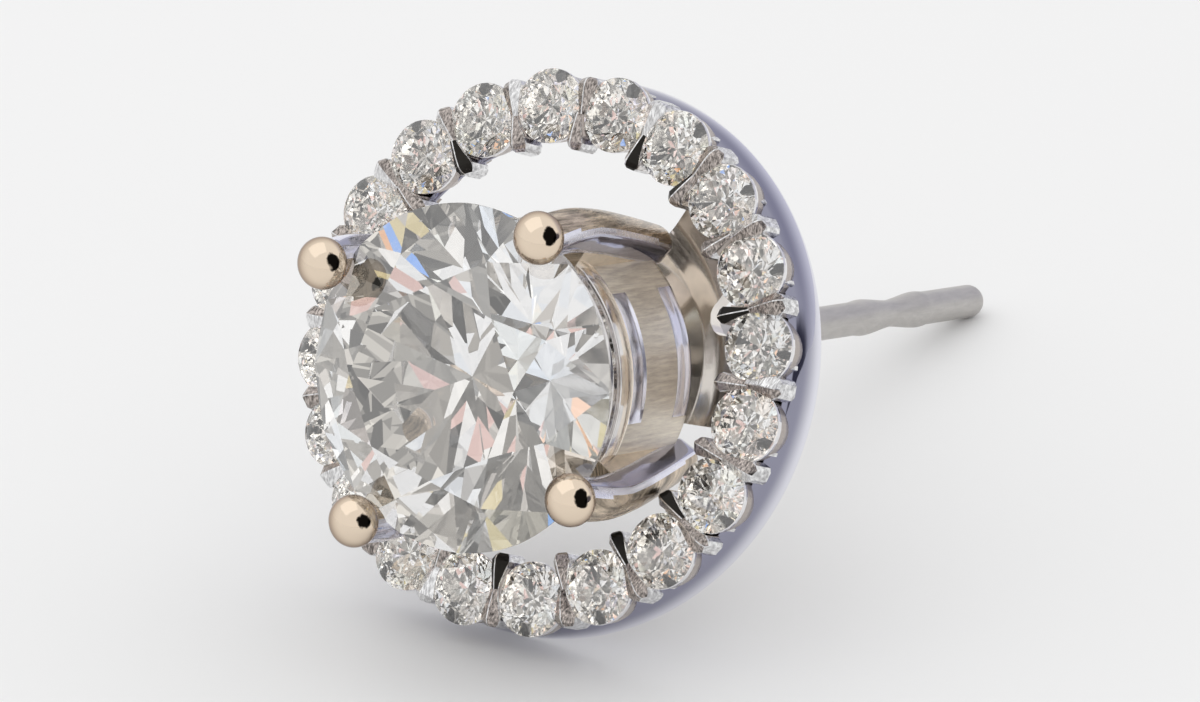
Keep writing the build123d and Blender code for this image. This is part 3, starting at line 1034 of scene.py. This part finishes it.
class EARRING_OT_halo_arms(bpy.types.Operator):
    """Form the dished cross arms with the hole for the post"""
    bl_idname = "earring.halo_arms"
    bl_label = "Halo arms"

    def execute(self, context):
        j, f = context.scene.ear_jacket, context.scene.ear_finish
        front = curve_through([(2.40, -1.55), (2.85, -1.43), (3.25, -1.20), (3.65, -0.94), (4.00, -0.76),
                               (4.22, -0.72)], 6)
        rear = curve_through([(4.25, -1.09), (3.90, -1.22), (3.40, -1.52), (2.95, -1.76), (2.50, -1.88)], 6)
        section = [(0.0, -1.55), (1.0, -1.55), (2.0, -1.55)] + [tuple(p) for p in front]
        section += [tuple(p) for p in rear] + [(1.8, -1.88), (0.9, -1.88), (0.0, -1.88)]
        bm = bmesh.new()
        lathe(bm, section, 160)
        bmesh.ops.remove_doubles(bm, verts=bm.verts, dist=1e-5)
        dish = to_tool("dish", bm)
        plan = arm_plan([radians(a) for a in ARM_TURNS], j.arm_width / 2, ARM_REACH, ARM_FILLET)
        bm = bmesh.new()
        tube(bm, [[Vector((x, y, z)) for x, y in plan] for z in (-2.2, -0.2)])
        arms = to_tool("plan", bm)
        bm = bmesh.new()
        tube(bm, [[polar(j.hole_radius, 2 * pi * k / 64, z) for k in range(64)] for z in (-2.4, 0.0)])
        hole = to_tool("hole", bm)
        cut = join_tools(arms, [(dish, "INTERSECT"), (hole, "DIFFERENCE")])
        bm = bmesh.new()
        bm.from_mesh(cut)
        bmesh.ops.remove_doubles(bm, verts=bm.verts, dist=1e-4)
        bmesh.ops.dissolve_limit(bm, angle_limit=radians(0.5), verts=bm.verts, edges=bm.edges)
        polish = metal("Arm rhodium", f.arm, 0.07, 0.16, scale=1.2, bump=0.002, shade=0.12)
        finish_mesh("Jacket_arms", bm, jacket_matrix(j), [polish], "jacket",
                    modifiers=[rounded(0.09, 4, 40), EVEN_NORMALS])
        return {"FINISHED"}


def arm_plan(turns, half, reach, fillet):
    """Outline of the crossed arms seen along the post, counter-clockwise, with rounded inner corners."""
    turns = sorted(turns)
    outline = []
    for a, b in zip(turns, turns[1:] + [turns[0] + 2 * pi]):
        out, side = Vector((cos(a), sin(a))), Vector((-sin(a), cos(a)))
        outline += [out * reach - side * half, out * reach + side * half]
        gap = (b - a) / 2
        corner = Vector((cos(a + gap), sin(a + gap))) * (half / sin(gap))
        outline.append(corner)
    done = []
    n = len(outline)
    for i, p in enumerate(outline):
        if i % 3 != 2:
            done.append(p)
            continue
        before, after = (outline[i - 1] - p).normalized(), (outline[(i + 1) % n] - p).normalized()
        angle = before.angle(after)
        run = fillet / tan(angle / 2)
        centre = p + (before + after).normalized() * (fillet / sin(angle / 2))
        start, end = p + before * run - centre, p + after * run - centre
        for k in range(9):
            t = k / 8
            done.append(centre + (start * (1 - t) + end * t).normalized() * fillet)
    return [(p.x, p.y) for p in done]


def to_tool(name, bm):
    """Turns a mesh into a scratch object for a boolean."""
    bmesh.ops.recalc_face_normals(bm, faces=bm.faces)
    mesh = bpy.data.meshes.new(name)
    bm.to_mesh(mesh)
    bm.free()
    tool = bpy.data.objects.new(name, mesh)
    bpy.context.scene.collection.objects.link(tool)
    return tool


def join_tools(base, others):
    """Applies each of the others to the base, removes them all and returns the mesh that is left."""
    for other, how in others:
        modifier = base.modifiers.new(how, "BOOLEAN")
        modifier.object, modifier.operation, modifier.solver = other, how, "EXACT"
    held = bpy.context.evaluated_depsgraph_get()
    mesh = bpy.data.meshes.new_from_object(base.evaluated_get(held), depsgraph=held)
    for tool in [base, *(o for o, _ in others)]:
        bpy.data.objects.remove(tool)
    return mesh


# ---------------------------------------------------------------- studio

class EARRING_OT_studio(bpy.types.Operator):
    """Set the floor, the surround, the lamps and the camera"""
    bl_idname = "earring.studio"
    bl_label = "Studio"

    def execute(self, context):
        studio = context.scene.ear_studio
        bm = bmesh.new()
        bmesh.ops.create_grid(bm, x_segments=1, y_segments=1, size=0.6)
        mesh = bpy.data.meshes.new("Floor")
        bm.to_mesh(mesh)
        bm.free()
        floor = bpy.data.objects.new("Floor", mesh)
        context.scene.collection.objects.link(floor)
        material, tree, shader = new_material("Paper floor")
        shader.inputs["Base Color"].default_value = (*studio.floor, 1)
        shader.inputs["Roughness"].default_value = 0.9
        shader.inputs["Specular IOR Level"].default_value = 0.1
        mesh.materials.append(material)

        world = bpy.data.worlds.new("Studio surround")
        context.scene.world = world
        world.use_nodes = True
        build_surround(world.node_tree, studio.world)

        lamp = bpy.data.lights.new("Overhead softbox", "AREA")
        lamp.size, lamp.energy = 0.16, 0.02
        place = bpy.data.objects.new("Overhead softbox", lamp)
        place.location = (-0.06, -0.05, 0.14)
        place.rotation_euler = (Vector((0, 0, 0.004)) - Vector(place.location)).to_track_quat("-Z",
                "Y").to_euler()
        context.scene.collection.objects.link(place)

        stud = stud_matrix()
        camera = bpy.data.cameras.new("Camera")
        camera.sensor_width, camera.lens, camera.clip_start = 36.0, studio.lens, 0.01
        view = bpy.data.objects.new("Camera", camera)
        # Where the camera stands: the stud's axes and its middle as a camera there sees them before it
        # is turned, the middle in millimetres. It is then turned to face the target.
        across = Vector((0.8602, -0.2202, 0.4598))
        out = Vector((-0.4862, -0.0827, 0.8699)).normalized()
        up = out.cross(across).normalized()
        middle = Vector((-10.52, -0.165, -141.78))
        spot = stud @ Vector((-middle.dot(across), -middle.dot(up), -middle.dot(out)))
        level = stud.to_3x3() * (1 / MM) @ Vector((across.y, up.y, out.y))
        target = stud @ Vector((0.1, 0.15, -4.2))
        back = (spot - target).normalized()
        right = level.cross(back).normalized()
        rise = back.cross(right)
        view.matrix_world = Matrix.Translation(spot) @ Matrix((right, rise, back)).transposed().to_4x4()
        context.scene.collection.objects.link(view)
        context.scene.camera = view
        context.scene.view_settings.view_transform = "Standard"
        return {"FINISHED"}


def build_surround(tree, strength):
    """A white tent with dark gaps. The camera and the floor's light see it as plain white."""
    tree.nodes.clear()
    link = tree.links.new
    direction = node(tree, "ShaderNodeTexCoord").outputs["Generated"]
    rough = node(tree, "ShaderNodeTexNoise", in_Scale=5.0, in_Detail=3.0)
    link(direction, rough.inputs["Vector"])

    plain = node(tree, "ShaderNodeRGB")
    plain.outputs[0].default_value = (0.95, 0.95, 0.955, 1)
    tent = plain.outputs[0]
    for toward, squash, inner, outer, ragged, shade in SURROUND:
        facing = Vector(toward).normalized()
        lean = node(tree, "ShaderNodeVectorMath", operation="SUBTRACT")
        lean.inputs[1].default_value = facing
        link(direction, lean.inputs[0])
        flat = node(tree, "ShaderNodeVectorMath", operation="MULTIPLY")
        flat.inputs[1].default_value = (1, 1, squash)
        link(lean.outputs[0], flat.inputs[0])
        away = node(tree, "ShaderNodeVectorMath", operation="LENGTH")
        link(flat.outputs[0], away.inputs[0])
        torn = node(tree, "ShaderNodeMath", operation="MULTIPLY_ADD")
        torn.inputs[1].default_value = ragged
        link(rough.outputs[0], torn.inputs[0])
        link(away.outputs["Value"], torn.inputs[2])
        edge = node(tree, "ShaderNodeMapRange", interpolation_type="SMOOTHSTEP", in_To_Min=1.0,
                    in_To_Max=0.0)
        edge.inputs["From Min"].default_value = 2 * sin(inner / 2) + ragged / 2
        edge.inputs["From Max"].default_value = 2 * sin(outer / 2) + ragged / 2
        link(torn.outputs[0], edge.inputs["Value"])
        tent = mix_colours(tree, edge.outputs[0], tent, (*shade, 1))

    cells = node(tree, "ShaderNodeTexVoronoi", in_Scale=4.2)
    link(direction, cells.inputs["Vector"])
    pick = node(tree, "ShaderNodeSeparateColor")
    link(cells.outputs["Color"], pick.inputs[0])
    ramp = node(tree, "ShaderNodeValToRGB")
    ramp.color_ramp.interpolation = "CONSTANT"
    stops = ramp.color_ramp.elements
    while len(stops) < len(SPARKLE):
        stops.new(0.5)
    for stop, (place, shade) in zip(stops, SPARKLE):
        stop.position, stop.color = place, (*shade, 1)
    link(pick.outputs[0], ramp.inputs[0])

    paths = node(tree, "ShaderNodeLightPath")
    colour = mix_colours(tree, paths.outputs["Is Transmission Ray"], tent, ramp.outputs[0])
    colour = mix_colours(tree, paths.outputs["Is Diffuse Ray"], colour, (1, 1, 1, 1))
    colour = mix_colours(tree, paths.outputs["Is Camera Ray"], colour, (0.913, 0.913, 0.913, 1))
    light = node(tree, "ShaderNodeBackground", in_Strength=strength)
    link(colour, light.inputs["Color"])
    link(light.outputs[0], node(tree, "ShaderNodeOutputWorld").inputs["Surface"])


# Gaps in the tent: direction, squash, inner and outer angle, raggedness and shade.
SURROUND = (
    ((0.20, 0.95, 0.12), 1.3, radians(22), radians(50), 0.10, (0.64, 0.64, 0.72)),
    ((0.95, 0.30, 0.10), 1.8, radians(16), radians(30), 0.15, (0.09, 0.09, 0.12)),
)
# What the stones let through: where each band starts, and its shade.
SPARKLE = (
    (0.00, (0.02, 0.019, 0.016)), (0.14, (0.12, 0.112, 0.10)), (0.30, (0.30, 0.28, 0.25)),
           (0.52, (0.55, 0.515, 0.475)),
    (0.72, (0.93, 0.91, 0.88)), (0.83, (0.92, 0.50, 0.27)), (0.87, (0.76, 0.64, 0.34)),
           (0.92, (0.78, 0.53, 0.48)), (0.965, (0.22, 0.46, 1.0)),
)


# ---------------------------------------------------------------- panel and registration

STEPS = (
    EARRING_OT_centre_stone, EARRING_OT_basket, EARRING_OT_prongs, EARRING_OT_post,
    EARRING_OT_halo_ring, EARRING_OT_halo_beads, EARRING_OT_halo_arms, EARRING_OT_halo_stones,
         EARRING_OT_studio,
)


class EARRING_PT_panel(bpy.types.Panel):
    """Sizes and build steps of the earring"""
    bl_idname = "EARRING_PT_panel"
    bl_label = "Halo stud earring"
    bl_space_type = "VIEW_3D"
    bl_region_type = "UI"
    bl_category = "Earring"

    def draw(self, context):
        for name, group in SETTINGS:
            box = self.layout.box()
            for key in group.__annotations__:
                box.prop(getattr(context.scene, name), key)
        for step in STEPS:
            self.layout.operator(step.bl_idname)


def register():
    for name, group in SETTINGS:
        bpy.utils.register_class(group)
        setattr(bpy.types.Scene, name, bpy.props.PointerProperty(type=group))
    for step in STEPS:
        bpy.utils.register_class(step)
    bpy.utils.register_class(EARRING_PT_panel)


def unregister():
    bpy.utils.unregister_class(EARRING_PT_panel)
    for step in reversed(STEPS):
        bpy.utils.unregister_class(step)
    for name, group in reversed(SETTINGS):
        delattr(bpy.types.Scene, name)
        bpy.utils.unregister_class(group)


def main():
    register()
    for step in STEPS:
        area, name = step.bl_idname.split(".")
        getattr(getattr(bpy.ops, area), name)()
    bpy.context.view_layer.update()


if __name__ == "__main__":
    main()
